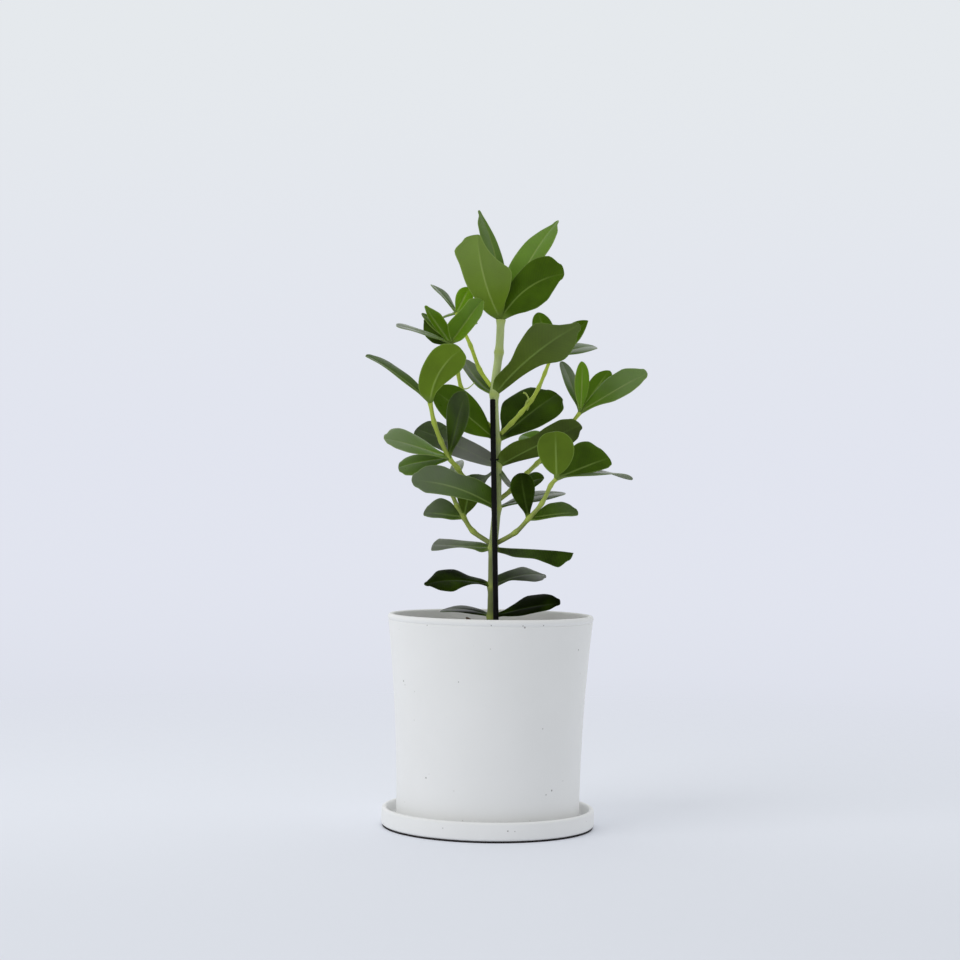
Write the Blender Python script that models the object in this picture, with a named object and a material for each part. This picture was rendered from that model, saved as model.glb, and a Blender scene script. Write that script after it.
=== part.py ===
"""A potted clusia: a white ceramic pot on its saucer, filled with soil, and a young plant tied to a
stake. Metres, +Z up, with the origin at the centre of the saucer's underside and the front of the
plant towards -Y. Sizes below are in millimetres and are turned to metres where a mesh is made."""

import math
import random

import bmesh
import bpy
import numpy as np
from mathutils import Matrix, Vector

MM = 0.001
GAP = 0.3
TURNED_SIDES = 48

# Saucer
SAUCER_RADIUS = 77.4
SAUCER_HEIGHT = 14.0
SAUCER_WALL = 3.6
SAUCER_FLOOR = 4.0
SAUCER_LIP_DROP = 0.6
SAUCER_CORNER = 2.6
FOOT_RADIUS = 76.6
FOOT_HEIGHT = 1.2

# Pot
POT_BASE_RADIUS = 66.5
POT_RIM_RADIUS = 75.0
POT_WALL = 4.0
POT_FLOOR = 6.0
POT_FOOT = SAUCER_FLOOR + GAP
POT_TOP = 153.8
RIM_BEVEL = 2.8
RIM_FLAT = 3.0
RIM_EDGE = 1.2
FLARE_POWER = 2.0
OUTER_RINGS = 7
INNER_RINGS = 5
DRAIN_RADIUS = 6.0

# Soil
SOIL_RIM_HEIGHT = 140.0
SOIL_MIDDLE_HEIGHT = 145.5
SOIL_SIDE_RINGS = 4
SOIL_TOP_RINGS = (0.82, 0.55, 0.28)
CHIP_COUNT = 12
CHIP_SEED = 7
CHIP_PLACES = (16.0, 58.0)
CHIP_LENGTHS = (6.0, 11.0)
CHIP_WIDTHS = (3.5, 6.0)
CHIP_HEIGHTS = (2.5, 3.5)
CHIP_TILT = 0.35
STEM_HOLE_RADIUS = 4.2

# Stake and tie
STAKE_RADIUS = 2.0
STAKE_FOOT = (6.3, -8.6, 70.0)
STAKE_TOP = (-1.2, -6.0, 310.5)
STAKE_ROUNDING = 0.8
ROD_SIDES = 12
TIE_HEIGHT = 266.5
TIE_THICKNESS = 1.0
TIE_DEPTH = 1.6
TIE_TILT = 0.35
TIE_SIDES = 20
TIE_STEM_RADIUS = 3.6

# Leaf blades and stems
BLADE_THICKNESS = 0.9
STALK_WIDTH = 2.6
STALK_THICKNESS = 1.8
STALK_SHARE = 0.08
TIP_WIDTH = 1.2
BLADE_STEPS = 9
STEM_SIDES = 6
STEPS_PER_JOINT = 3
JOINT_SWELL = 0.22
ASIDE = (0.31, 0.95, 0.0)

# Outlines of a blade: where it is widest, as a share of its length, and how blunt its tip is
ROUND = (0.66, 0.55)
OVAL = (0.60, 0.62)
BLUNT = (0.70, 0.42)
BROAD = (0.55, 0.50)
POINTED = (0.52, 0.85)

# Each leafy stem: its radius at foot and tip, the joints that it passes through, and its leaves.
# A leaf's row holds the joint it grows from, its tip, its width, the way its upper face looks,
# how far it arches, folds along the midrib and twists (degrees), and its outline.
STEMS = {
    "main_stem": (
        (3.4, 2.3),
        [(2, 1, 80), (1, 0, 152), (1, 0, 174), (1, 0, 202), (3, 0, 231), (3, 0, 262), (2, 0, 280),
         (0, 0, 314), (3, 1, 345), (4, 2, 369)],
        [
            (1, (-36, 28, 154), 20, (0, -0.35, 1), 12, 4, 0, OVAL),
            (1, (49, -22, 163), 24, (0, -1, 1.1), 15, 8, 0, ROUND),
            (2, (-47, -24, 176), 26, (0, -1, 1.3), 24, 6, 0, OVAL),
            (2, (41, 28, 182), 19, (0, -0.9, 1), 22, 4, 0, OVAL),
            (3, (-43, 28, 201), 22, (0, -0.2, 1), 0, 4, 70, ROUND),
            (3, (59, -28, 196), 22, (0, -0.5, 1), -28, 6, -30, OVAL),
            (4, (-58, -30, 252), 29, (0, -1, 0.8), 18, 18, 0, OVAL),
            (4, (54, 34, 242), 22, (0, -0.3, 1), 15, 4, 0, OVAL),
            (5, (-57, 34, 291), 28, (0, -1, 0.9), 15, 4, -15, ROUND),
            (5, (61, -34, 293), 26, (0, 1, 0.9), 10, 6, 0, ROUND),
            (5, (-20, 16, 244), 18, (0, -0.3, 1), 35, 6, 0, OVAL),
            (5, (15, -1, 247), 5, (0, -0.3, 1), 30, 6, 0, OVAL),
            (6, (-44, -14, 316), 34, (0, -1, 0.8), 10, 10, 0, OVAL),
            (6, (49, 38, 316), 40, (0, -1, 0.8), 14, 6, 0, BROAD),
            (7, (57, -34, 363), 30, (0, 1, 0.5), -15, 6, 0, BLUNT),
            (7, (-21, 30, 344), 17, (0.3, -0.7, 0.6), -15, 15, 0, OVAL),
            (9, (-21, -14, 428), 36, (0, 1, 0.2), -30, 8, 0, BLUNT),
            (9, (-13, 30, 452), 22, (0.8, -1, 0.3), 10, 25, 0, POINTED),
            (9, (46, 34, 446), 28, (-0.7, -1, 0.5), 25, 12, 0, POINTED),
            (9, (48, -12, 409), 36, (-0.3, -1, 0.4), 10, 10, 0, OVAL),
        ],
    ),
    "shoot_low_left": (
        (2.2, 1.6),
        [(-2, 2.8, 206), (-14, 9, 214), (-21, 16, 224), (-26, 24, 232), (-30, 32, 241), (-33, 38, 247)],
        [
            (2, (-51, 24, 229), 24, (0, -1, 0.9), 15, 6, 0, ROUND),
            (2, (-16, 28, 254), 20, (-0.3, 1, 0.3), 10, 8, 0, OVAL),
            (5, (-66, 62, 262), 22, (0, -0.6, 1), 20, 8, 0, OVAL),
            (5, (-27, 76, 269), 14, (0, -0.6, 1), 20, 8, 0, OVAL),
        ],
    ),
    "shoot_low_right": (
        (2.2, 1.6),
        [(4.2, -2.6, 206), (17, -12, 214), (26, -20, 224), (35, -28, 235), (41, -36, 248), (45, -40, 253)],
        [
            (2, (20, -14, 256), 18, (-0.2, -1, 0.3), 5, 10, 0, ROUND),
            (2, (61, -16, 230), 18, (0, -1, 0.9), 20, 6, 0, OVAL),
            (5, (43, -54, 286), 26, (0, 1, 0.3), 10, 6, 0, OVAL),
            (5, (84, -20, 273), 26, (0, -1, 0.5), 12, 6, 0, OVAL),
            (5, (101, -10, 254), 22, (0, -0.3, 1), 25, 6, 40, OVAL),
        ],
    ),
    "shoot_front_left": (
        (2.1, 1.5),
        [(-0.7, 0.8, 238), (-20, 0, 252), (-26, -4, 260), (-32, -10, 267), (-38, -18, 279),
         (-43, -24, 292), (-46, -30, 306)],
        [
            (3, (-78, -34, 279), 26, (0, -1, 1.1), 12, 5, 0, OVAL),
            (3, (-69, -8, 259), 26, (0, -0.8, 1), 15, 6, 0, OVAL),
            (3, (-21, -44, 313), 22, (-0.5, -1, 0.3), 5, 15, 0, ROUND),
            (6, (-30, -48, 346), 36, (-0.2, 1, 0.2), 10, 6, 0, OVAL),
            (6, (-93, -18, 340), 20, (0, -0.3, 1), 15, 10, 0, OVAL),
        ],
    ),
    "shoot_back_right": (
        (2.1, 1.5),
        [(5.6, 3.0, 238), (14, 10, 245), (25, 22, 257), (33, 30, 265), (44, 36, 277), (55, 40, 291),
         (65, 42, 304)],
        [
            (1, (38, -2, 254), 18, (0, -1, 1), 15, 6, 0, OVAL),
            (4, (21, 54, 287), 20, (0, -0.8, 1), 15, 8, 0, OVAL),
            (3, (62, 66, 270), 20, (0, -0.5, 1), 15, 8, 0, OVAL),
            (6, (51, 50, 343), 16, (1, -0.9, 0.2), 10, 10, 0, OVAL),
            (6, (63, 25, 341), 15, (0.3, -1, 0.2), 10, 10, 0, OVAL),
            (6, (88, 62, 336), 15, (0, -1, 0.5), 10, 10, 0, OVAL),
            (6, (113, 20, 335), 23, (0, -1, 0.7), 15, 6, 0, POINTED),
        ],
    ),
    "shoot_high_right": (
        (2.0, 1.4),
        [(5.2, 0.2, 285.5), (12, 1, 292), (22, 7, 300), (29, 14, 310), (35, 21, 320), (38, 26, 330),
         (42, 30, 344)],
        [
            (6, (31, 42, 379), 18, (0.2, -1, 0.2), 10, 8, 0, OVAL),
            (6, (68, 12, 371), 20, (0, -1, 0.7), 10, 8, 0, POINTED),
            (6, (78, 62, 355), 22, (0, -0.5, 1), 15, 8, 0, OVAL),
        ],
    ),
    "shoot_high_back": (
        (1.8, 1.3),
        [(-2.3, 2.3, 320), (-11, 9, 333), (-18, 17, 351), (-24, 25, 364), (-29, 30, 376)],
        [
            (4, (-20, 26, 396), 12, (0, -1, 0.3), 10, 8, 0, OVAL),
            (4, (-48, 44, 399), 13, (0.8, -0.5, 0.4), 15, 10, 0, OVAL),
            (4, (-20, 72, 372), 20, (0, -1, 0.7), 15, 8, 0, OVAL),
            (4, (-52, 60, 368), 18, (0, -0.6, 1), 15, 8, 0, OVAL),
        ],
    ),
    "shoot_mid_left": (
        (2.0, 1.4),
        [(-1.4, 1.8, 290), (-9, 5, 297), (-18, 5, 306), (-24, 3, 318), (-27, -3, 330),
         (-30, -9, 340), (-32, -14, 350)],
        [
            (6, (-10, -12, 382), 28, (-0.3, -1, 0.3), 0, 25, 0, POINTED),
            (6, (-50, -38, 373), 18, (0.3, 1, 0.3), 10, 8, 0, OVAL),
            (6, (-55, 4, 362), 30, (0.1, -1, 0.2), 10, 8, 0, ROUND),
            (6, (-71, -28, 360), 20, (0, -0.2, 1), 12, 8, 0, OVAL),
            (6, (-54, 8, 374), 12, (0.3, -1, 0.5), 10, 8, 0, OVAL),
        ],
    ),
}


def new_object(name, mesh, material):
    obj = bpy.data.objects.new(name, mesh)
    bpy.context.scene.collection.objects.link(obj)
    mesh.materials.append(material)
    mesh.shade_smooth()
    mesh.set_sharp_from_angle(angle=math.radians(35))
    return obj


def finish(name, colour, roughness):
    """A plain opaque finish from its colour and roughness."""
    material = bpy.data.materials.new(name)
    material.use_nodes = True
    shader = material.node_tree.nodes["Principled BSDF"]
    shader.inputs["Base Color"].default_value = (*colour, 1.0)
    shader.inputs["Roughness"].default_value = roughness
    shader.inputs["Metallic"].default_value = 0.0
    return material


def mesh_from(name, points, faces):
    """A mesh from points in millimetres, with its faces turned outwards."""
    mesh = bpy.data.meshes.new(name)
    mesh.from_pydata([tuple(float(c) * MM for c in p) for p in points], [], faces)
    shell = bmesh.new()
    shell.from_mesh(mesh)
    bmesh.ops.recalc_face_normals(shell, faces=shell.faces)
    shell.to_mesh(mesh)
    shell.free()
    return mesh


def turned(name, profile, material, sides=TURNED_SIDES):
    """A profile of (radius, height) points turned round +Z. A point on the axis closes a pole."""
    points = []
    rings = []
    for radius, height in profile:
        first = len(points)
        if radius == 0.0:
            points.append((0.0, 0.0, height))
            rings.append([first] * sides)
            continue
        for k in range(sides):
            turn = math.tau * k / sides
            points.append((radius * math.cos(turn), radius * math.sin(turn), height))
        rings.append([first + k for k in range(sides)])
    closed = profile[0][0] != 0.0
    pairs = list(zip(rings, rings[1:] + rings[:1])) if closed else list(zip(rings, rings[1:]))
    faces = []
    for low, high in pairs:
        for k in range(sides):
            after = (k + 1) % sides
            corners = [low[k], low[after], high[after], high[k]]
            faces.append(tuple(dict.fromkeys(corners)))
    return new_object(name, mesh_from(name, points, faces), material)


def pot_radius(height):
    """The pot's outer radius: nearly straight at the foot, flaring towards the rim."""
    share = (height - POT_FOOT) / (POT_TOP - POT_FOOT)
    return POT_BASE_RADIUS + (POT_RIM_RADIUS - POT_BASE_RADIUS) * share ** FLARE_POWER


def make_saucer(material):
    """A dish with a slightly undercut foot, a rounded upright lip and a rounded inner corner."""
    inner = SAUCER_RADIUS - SAUCER_WALL
    lip_middle = (SAUCER_RADIUS + inner) / 2 - SAUCER_LIP_DROP
    shoulder = SAUCER_HEIGHT - SAUCER_LIP_DROP
    profile = [
        (0.0, 0.0),
        (FOOT_RADIUS, 0.0),
        (FOOT_RADIUS, FOOT_HEIGHT),
        (SAUCER_RADIUS - 0.2, FOOT_HEIGHT + 0.5),
        (SAUCER_RADIUS, FOOT_HEIGHT + 1.6),
        (SAUCER_RADIUS - SAUCER_LIP_DROP, SAUCER_HEIGHT - 3.0),
        (SAUCER_RADIUS - 1.5, shoulder),
        (lip_middle, SAUCER_HEIGHT),
        (inner, shoulder),
        (inner - 0.8, SAUCER_FLOOR + 2.0),
        (inner - SAUCER_CORNER, SAUCER_FLOOR),
        (0.0, SAUCER_FLOOR),
    ]
    return turned("saucer", profile, material)


def make_pot(material):
    """A ring profile, because the drain hole runs through the middle of the floor: up the flared
    outside, over the bevelled rim and down the inside."""
    outer_heights = np.linspace(POT_FOOT + 1.0, POT_TOP - RIM_BEVEL, OUTER_RINGS)
    inner_heights = np.linspace(POT_TOP - RIM_EDGE, POT_FOOT + POT_FLOOR, INNER_RINGS)
    profile = [(DRAIN_RADIUS, POT_FOOT), (POT_BASE_RADIUS - 1.0, POT_FOOT)]
    profile += [(pot_radius(z), z) for z in outer_heights]
    profile += [(POT_RIM_RADIUS - 1.9, POT_TOP - 0.3), (POT_RIM_RADIUS - RIM_FLAT, POT_TOP)]
    profile += [(pot_radius(z) - POT_WALL, z) for z in inner_heights]
    profile += [(DRAIN_RADIUS, POT_FOOT + POT_FLOOR)]
    return turned("pot", [(float(r), float(z)) for r, z in profile], material)


def make_soil(material, holes):
    """The soil fills the pot and swells a little round the stem, with bark chips sunk into it."""
    floor = POT_FOOT + POT_FLOOR + GAP
    side_heights = np.linspace(floor, SOIL_RIM_HEIGHT, SOIL_SIDE_RINGS)
    side = [(pot_radius(z) - POT_WALL - GAP, z) for z in side_heights]
    reach = side[-1][0]
    swell = SOIL_MIDDLE_HEIGHT - SOIL_RIM_HEIGHT
    top = [(reach * s, SOIL_RIM_HEIGHT + swell * (1.0 - s * s)) for s in SOIL_TOP_RINGS]
    profile = [(0.0, floor)] + side + top + [(0.0, SOIL_MIDDLE_HEIGHT)]
    soil = turned("soil", [(float(r), float(z)) for r, z in profile], material)
    chips = []
    draw = random.Random(CHIP_SEED)
    for k in range(CHIP_COUNT):
        turn = math.tau * (k + draw.uniform(-0.3, 0.3)) / CHIP_COUNT
        out = draw.uniform(*CHIP_PLACES)
        height = SOIL_RIM_HEIGHT + swell * (1.0 - (out / reach) ** 2) + 0.4
        sizes = [draw.uniform(*span) for span in (CHIP_LENGTHS, CHIP_WIDTHS, CHIP_HEIGHTS)]
        chip = bmesh.new()
        bmesh.ops.create_cube(chip, size=1.0)
        place = Matrix.Translation(Vector((out * math.cos(turn), out * math.sin(turn), height)) * MM)
        place @= Matrix.Rotation(draw.uniform(0, math.pi), 4, "Z")
        place @= Matrix.Rotation(draw.uniform(-CHIP_TILT, CHIP_TILT), 4, "X")
        place @= Matrix.Diagonal((*(Vector(sizes) * MM), 1.0))
        bmesh.ops.transform(chip, matrix=place, verts=chip.verts)
        mesh = bpy.data.meshes.new(f"chip_{k}")
        chip.to_mesh(mesh)
        chip.free()
        chips.append(bpy.data.objects.new(f"chip_{k}", mesh))
    fuse(soil, chips)
    for cutter in holes:
        cut = soil.modifiers.new("hole", "BOOLEAN")
        cut.operation = "DIFFERENCE"
        cut.solver = "EXACT"
        cut.object = cutter
    return soil


def fuse(base, pieces):
    """One Boolean union of the base with a collection of pieces, applied, and the pieces removed."""
    group = bpy.data.collections.new(f"{base.name}_pieces")
    bpy.context.scene.collection.children.link(group)
    for piece in pieces:
        group.objects.link(piece)
    join = base.modifiers.new("fuse", "BOOLEAN")
    join.operation = "UNION"
    join.solver = "EXACT"
    join.operand_type = "COLLECTION"
    join.collection = group
    bpy.context.view_layer.update()
    seen = base.evaluated_get(bpy.context.evaluated_depsgraph_get())
    whole = bpy.data.meshes.new_from_object(seen)
    base.modifiers.remove(join)
    base.data = whole
    for piece in pieces:
        bpy.data.objects.remove(piece, do_unlink=True)
    bpy.data.collections.remove(group)


def smooth_path(points, steps):
    """A smooth curve through the points (Catmull-Rom), read at equal steps between them."""
    knots = np.array([2 * np.array(points[0]) - points[1], *points, 2 * np.array(points[-1]) - points[-2]],
                     dtype=float)
    curve = []
    for i in range(1, len(knots) - 2):
        before, start, end, after = knots[i - 1: i + 3]
        for t in np.arange(steps) / steps:
            curve.append(0.5 * (2 * start + (end - before) * t
                                + (2 * before - 5 * start + 4 * end - after) * t ** 2
                                + (3 * start - before - 3 * end + after) * t ** 3))
    curve.append(knots[-2])
    return np.array(curve)


def tube(path, radii, sides, level_start=False):
    """Points and faces of a closed tube along a path. Its first ring can stand upright, to meet a
    stem face to face."""
    tangents = np.gradient(path, axis=0)
    tangents /= np.linalg.norm(tangents, axis=1)[:, None]
    if level_start:
        flat = tangents[0] * (1.0, 1.0, 0.0)
        tangents[0] = flat / np.linalg.norm(flat)
    across = np.cross(tangents, ASIDE)
    across /= np.linalg.norm(across, axis=1)[:, None]
    along = np.cross(tangents, across)
    turn = np.arange(sides) * math.tau / sides
    rings = (path[:, None] + radii[:, None, None]
             * (np.cos(turn)[None, :, None] * across[:, None] + np.sin(turn)[None, :, None] * along[:, None]))
    points = rings.reshape(-1, 3)
    count = len(path)
    faces = [tuple(range(sides)), tuple((count - 1) * sides + k for k in range(sides))]
    for i in range(count - 1):
        for k in range(sides):
            after = (k + 1) % sides
            faces.append((i * sides + k, i * sides + after, (i + 1) * sides + after, (i + 1) * sides + k))
    return points, faces


def half_width(share, width, outline):
    """Half the blade's width at a share of its length: a power of the way from its foot times a
    power of the way from its tip, over a slim stalk at the foot."""
    widest, blunt = outline
    way = np.clip((share - STALK_SHARE) / (1.0 - STALK_SHARE), 0.0, 1.0)
    rise = blunt * widest / (1.0 - widest)
    peak = widest ** rise * (1.0 - widest) ** blunt
    blade = 0.5 * width * way ** rise * (1.0 - way) ** blunt / peak
    least = np.where(share < 0.5, STALK_WIDTH, TIP_WIDTH) / 2
    return np.maximum(blade, least)


def leaf(foot, tip, width, faces_to, arch, fold, twist, outline):
    """Points and triangles of one closed blade. Its midrib is an arc from foot to tip that bulges
    towards the upper face, and its halves rise from the midrib by the fold angle."""
    step = np.arange(BLADE_STEPS + 1) / BLADE_STEPS
    share = 1.0 - (1.0 - step) ** 1.5
    foot = np.array(foot, dtype=float)
    chord = np.array(tip, dtype=float) - foot
    length = np.linalg.norm(chord)
    ahead = chord / length
    up = np.array(faces_to, dtype=float)
    up -= up.dot(ahead) * ahead
    up /= np.linalg.norm(up)
    rise = 0.5 * length * math.tan(math.radians(arch) / 4)
    spine = foot + share[:, None] * chord + (4 * rise * share * (1 - share))[:, None] * up
    tangent = chord + (4 * rise * (1 - 2 * share))[:, None] * up
    tangent /= np.linalg.norm(tangent, axis=1)[:, None]
    normal = up - (tangent @ up)[:, None] * tangent
    normal /= np.linalg.norm(normal, axis=1)[:, None]
    side = np.cross(tangent, normal)
    turn = np.radians(twist) * (share - 0.5)
    sweep = np.cos(turn)[:, None] * side + np.sin(turn)[:, None] * normal
    normal = np.cross(sweep, tangent)
    reach = half_width(share, width, outline)[:, None]
    lift = math.sin(math.radians(fold))
    spread = math.cos(math.radians(fold))
    thick = np.where(share < STALK_SHARE, STALK_THICKNESS, BLADE_THICKNESS)[:, None] / 2
    rows = [spine + reach * (v * spread * sweep + abs(v) * lift * normal) for v in (-1, 0, 1)]
    points = np.concatenate([r + thick * normal for r in rows] + [r - thick * normal for r in rows])
    count = BLADE_STEPS + 1

    def at(layer, row, i):
        return (layer * 3 + row) * count + i

    triangles = []
    for i in range(BLADE_STEPS):
        for row in (0, 1):
            for layer in (0, 1):
                a, b = at(layer, row, i), at(layer, row + 1, i)
                c, d = at(layer, row + 1, i + 1), at(layer, row, i + 1)
                triangles += [(a, b, c), (a, c, d)]
        for row in (0, 2):
            a, b = at(0, row, i), at(1, row, i)
            c, d = at(1, row, i + 1), at(0, row, i + 1)
            triangles += [(a, b, c), (a, c, d)]
    for i in (0, BLADE_STEPS):
        for row in (0, 1):
            a, b = at(0, row, i), at(0, row + 1, i)
            c, d = at(1, row + 1, i), at(1, row, i)
            triangles += [(a, b, c), (a, c, d)]
    return points, triangles


def stem_radii(count, ends):
    """The radius along a stem: an even taper, swollen at the joints where leaves sit."""
    place = np.linspace(0.0, 1.0, count)
    taper = ends[0] + (ends[1] - ends[0]) * place
    at_joint = np.arange(count) % STEPS_PER_JOINT == 0
    at_joint[0] = False
    return taper * (1.0 + JOINT_SWELL * at_joint)


def make_leafy_stem(name, ends, joints, leaves, material):
    path = smooth_path(joints, STEPS_PER_JOINT)
    radii = stem_radii(len(path), ends)
    grows_from_stem = name != "main_stem"
    points, faces = tube(path, radii, STEM_SIDES, level_start=grows_from_stem)
    stem = new_object(name, mesh_from(name, points, faces), material)
    blades = []
    for k, (joint, *shape) in enumerate(leaves):
        points, triangles = leaf(joints[joint], *shape)
        mesh = mesh_from(f"{name}_leaf_{k}", points, triangles)
        blades.append(bpy.data.objects.new(mesh.name, mesh))
    fuse(stem, blades)
    return stem


def rod(name, foot, top, radius, material, round_top=0.0):
    """A straight rod, whose top can be chamfered."""
    foot, top = np.array(foot, dtype=float), np.array(top, dtype=float)
    path = [foot, top]
    radii = [radius, radius]
    if round_top:
        path.insert(1, top - round_top * (top - foot) / np.linalg.norm(top - foot))
        radii.append(radius - round_top)
    points, faces = tube(np.array(path), np.array(radii), ROD_SIDES)
    return new_object(name, mesh_from(name, points, faces), material)


def along_stake(height):
    """The stake's centre at a height."""
    share = (height - STAKE_FOOT[2]) / (STAKE_TOP[2] - STAKE_FOOT[2])
    return tuple(a + (b - a) * share for a, b in zip(STAKE_FOOT, STAKE_TOP))


def make_tie(material):
    """A band in a rounded loop round the stem and the stake, lowest at the stake. Its inner side
    follows the taut outline of the two circles, a gap clear of them."""
    stem = np.array(smooth_path(STEMS["main_stem"][1], STEPS_PER_JOINT))
    centre = [np.interp(TIE_HEIGHT, stem[:, 2], stem[:, k]) for k in (0, 1)]
    post = along_stake(TIE_HEIGHT)[:2]
    rounds = [(centre, TIE_STEM_RADIUS + GAP), (post, STAKE_RADIUS + GAP)]
    turns = np.arange(TIE_SIDES) * math.tau / TIE_SIDES
    points = []
    for extra, drop in ((0, -0.5), (TIE_THICKNESS, -0.5), (TIE_THICKNESS, 0.5), (0, 0.5)):
        for turn in turns:
            way = np.array([math.cos(turn), math.sin(turn)])
            mid, radius = max(rounds, key=lambda r: np.dot(r[0], way) + r[1])
            edge = np.array(mid) + way * (radius / math.cos(math.pi / TIE_SIDES) + extra)
            height = TIE_HEIGHT + TIE_TILT * (edge[1] - post[1]) + drop * TIE_DEPTH
            points.append((edge[0], edge[1], height))
    faces = []
    for side in range(4):
        for k in range(TIE_SIDES):
            after = (k + 1) % TIE_SIDES
            other = (side + 1) % 4
            faces.append((side * TIE_SIDES + k, side * TIE_SIDES + after,
                          other * TIE_SIDES + after, other * TIE_SIDES + k))
    return new_object("tie", mesh_from("tie", points, faces), material)


def make_holes(material):
    """The cutters for the plain holes that the stem and the stake stand in."""
    low, high = STEMS["main_stem"][1][:2]
    above = SOIL_MIDDLE_HEIGHT + 6.0
    stem_foot = (low[0], low[1], low[2] - GAP)
    stake_foot = along_stake(STAKE_FOOT[2] - GAP)
    holes = [
        rod("stem_hole", stem_foot, (high[0], high[1], above), STEM_HOLE_RADIUS, material),
        rod("stake_hole", stake_foot, along_stake(above), STAKE_RADIUS + GAP, material),
    ]
    for cutter in holes:
        cutter.hide_render = True
        cutter.display_type = "WIRE"
    return holes


def main():
    for obj in list(bpy.data.objects):
        bpy.data.objects.remove(obj, do_unlink=True)
    ceramic = finish("white_ceramic", (0.80, 0.80, 0.79), 0.55)
    earth = finish("soil", (0.09, 0.06, 0.04), 0.95)
    black = finish("black_stake", (0.01, 0.01, 0.01), 0.5)
    green = finish("leaf_green", (0.09, 0.17, 0.04), 0.4)
    make_saucer(ceramic)
    make_pot(ceramic)
    rod("stake", STAKE_FOOT, STAKE_TOP, STAKE_RADIUS, black, round_top=STAKE_ROUNDING)
    make_tie(black)
    make_soil(earth, make_holes(earth))
    for name, (ends, joints, leaves) in STEMS.items():
        make_leafy_stem(name, ends, joints, leaves, green)


main()
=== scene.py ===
# %% [markdown]
# # A potted clusia, dressed
#
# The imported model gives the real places: a white pot on its saucer, soil, a stake with a tie, and
# eight leafy stems. This lesson puts a fine surface over each of them and gives it a finish. All
# sizes are in millimetres, +Z is up, and the front of the plant looks towards -Y.

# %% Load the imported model
import math

import bpy
import numpy as np
from mathutils import Matrix, Vector


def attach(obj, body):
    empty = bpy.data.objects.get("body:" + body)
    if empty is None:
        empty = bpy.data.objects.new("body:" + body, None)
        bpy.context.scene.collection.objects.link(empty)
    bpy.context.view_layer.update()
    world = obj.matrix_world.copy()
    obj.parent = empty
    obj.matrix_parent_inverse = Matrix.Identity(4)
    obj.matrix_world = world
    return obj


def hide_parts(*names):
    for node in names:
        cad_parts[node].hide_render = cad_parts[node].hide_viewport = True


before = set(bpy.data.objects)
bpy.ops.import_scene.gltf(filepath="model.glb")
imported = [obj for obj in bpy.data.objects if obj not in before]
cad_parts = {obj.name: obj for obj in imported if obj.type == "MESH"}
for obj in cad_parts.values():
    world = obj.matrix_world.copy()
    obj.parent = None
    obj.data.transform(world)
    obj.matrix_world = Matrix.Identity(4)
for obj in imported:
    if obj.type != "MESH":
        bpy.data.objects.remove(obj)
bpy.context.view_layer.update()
MM = 0.001
print("nodes:", ", ".join(sorted(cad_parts)))

# %% [markdown]
# ## The camera
#
# The photograph was taken from about 1.45 m away, a little above the rim of the pot, nearly level,
# and with a slight roll. A long lens keeps the pot's sides almost parallel. The camera is made
# first.

# %% Camera
CAMERA_PLACE = Vector((-9.4, -1450.0, 234.0))
# Degrees above level, and degrees about the line of sight
CAMERA_TILT = 0.692
CAMERA_ROLL = 0.92
# The focal length over the width of the picture, both in pixels
FOCAL_SHARE = 1986.5 / 960.0

camera_data = bpy.data.cameras.new("view")
camera_data.lens = FOCAL_SHARE * camera_data.sensor_width
camera_data.clip_end = 100.0
camera = bpy.data.objects.new("view", camera_data)
bpy.context.scene.collection.objects.link(camera)
camera.matrix_world = (
    Matrix.Translation(CAMERA_PLACE * MM)
    @ Matrix.Rotation(math.radians(90.0 + CAMERA_TILT), 4, "X")
    @ Matrix.Rotation(math.radians(CAMERA_ROLL), 4, "Z")
)
bpy.context.scene.camera = camera
print("lens", round(camera_data.lens, 1), "mm")

# %% [markdown]
# ## One way to make every surface
#
# A leaf, a stem, a pot and a chip of bark are all rings of points, one ring after the other. So
# one helper is enough: it takes the rings as one array, closes both ends with a pole or joins the
# last ring to the first, and turns the faces outwards.

# %% Skin over rings
def skin(rings, endless=False, look=0, marks=None):
    """Points and faces over rings. Neighbouring rings are joined by four-sided faces, and an end
    ring meets in a pole at its middle. The skin also says the number of its finish, and its marks:
    names with one number for each point."""
    rows, columns = rings.shape[:2]
    points = rings.reshape(-1, 3)
    here = np.arange(rows * columns).reshape(rows, columns)
    if endless:
        here = np.concatenate([here, here[:1]])
    after = np.roll(here, -1, axis=1)
    quads = np.stack([here[:-1], after[:-1], after[1:], here[1:]], axis=-1).reshape(-1, 4)
    caps = np.zeros((0, 3), dtype=int)
    if not endless:
        points = np.concatenate([points, [rings[0].mean(axis=0)], [rings[-1].mean(axis=0)]])
        first = np.full(columns, rows * columns)
        caps = np.concatenate([np.stack([first, after[0], here[0]], axis=-1),
                               np.stack([first + 1, here[-1], after[-1]], axis=-1)])
    triangles = np.concatenate([quads[:, [0, 1, 2]], quads[:, [0, 2, 3]], caps])
    a, b, c = (points[triangles[:, k]] for k in range(3))
    # the volume inside is negative where the faces look inwards
    if np.einsum("ij,ij->i", a, np.cross(b, c)).sum() < 0.0:
        quads, caps = quads[:, ::-1], caps[:, ::-1]
    return points, quads, caps, look, marks or {}


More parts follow.
